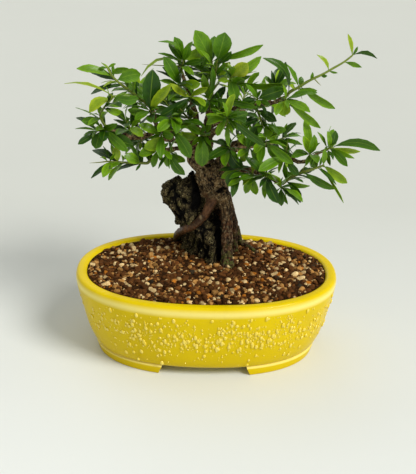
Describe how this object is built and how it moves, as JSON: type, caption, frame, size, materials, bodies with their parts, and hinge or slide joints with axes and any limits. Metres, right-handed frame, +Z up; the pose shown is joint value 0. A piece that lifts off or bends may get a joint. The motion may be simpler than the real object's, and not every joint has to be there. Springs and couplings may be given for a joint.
{
  "type": "potted bonsai tree",
  "caption": "Small firethorn tree trained over a craggy rock, with thorny leafy sprays, in an oval glazed pot on two curved feet filled with coarse soil.",
  "frame": {"origin": "on the ground under the pot, at the middle of the floor area that the whole plant covers", "axes": "+X along the pot's length, to the right as the tree is seen from its front; +Y from the front to the back; +Z up"},
  "size_m": [0.2806, 0.1974, 0.3127],
  "materials": {
    "glaze": "bright yellow gloss glaze",
    "soil": "loose brown and tan grit",
    "rock": "dark craggy rock with moss",
    "bark": "rough brown bark",
    "leaf": "glossy green leaves on green twigs",
    "mesh": "black plastic mesh"
  },
  "bodies": {
    "root": {"drain_mesh_left": "mesh", "drain_mesh_right": "mesh", "pot": "glaze", "rock": "rock", "soil": "soil", "spray_back_left_middle": "leaf", "spray_back_left_tip": "leaf", "spray_back_low_left_middle": "leaf", "spray_back_low_left_tip": "leaf", "spray_back_low_right_middle": "leaf", "spray_back_low_right_tip": "leaf", "spray_back_right_middle": "leaf", "spray_back_right_tip": "leaf", "spray_back_top_middle": "leaf", "spray_back_top_tip": "leaf", "spray_front_leader": "leaf", "spray_front_middle": "leaf", "spray_great_leaf": "leaf", "spray_high_left_tip": "leaf", "spray_inner_leader": "leaf", "spray_inner_left": "leaf", "spray_inner_left_main": "leaf", "spray_inner_low_right": "leaf", "spray_inner_right": "leaf", "spray_inner_top": "leaf", "spray_left_crown": "leaf", "spray_left_hanging": "leaf", "spray_left_middle": "leaf", "spray_left_tip": "leaf", "spray_long_shoot": "leaf", "spray_low_left_hanging": "leaf", "spray_low_left_middle": "leaf", "spray_low_left_tip": "leaf", "spray_low_right_broad": "leaf", "spray_low_right_hanging": "leaf", "spray_low_right_inner": "leaf", "spray_low_right_tip": "leaf", "spray_low_right_under": "leaf", "spray_outer_left": "leaf", "spray_outer_low_left": "leaf", "spray_over_trunk": "leaf", "spray_right_crown": "leaf", "spray_right_curtain": "leaf", "spray_right_fan": "leaf", "spray_right_hanging": "leaf", "spray_right_inner": "leaf", "spray_right_lower": "leaf", "spray_right_middle": "leaf", "spray_right_shield": "leaf", "spray_right_tip": "leaf", "spray_top": "leaf", "spray_top_left": "leaf", "spray_top_right": "leaf", "spray_under_shoot": "leaf", "spray_upper_left": "leaf", "spray_upper_right": "leaf", "spray_yellow_pair": "leaf", "spray_young_left": "leaf", "trunk": "bark"}
  },
  "joints": []
}
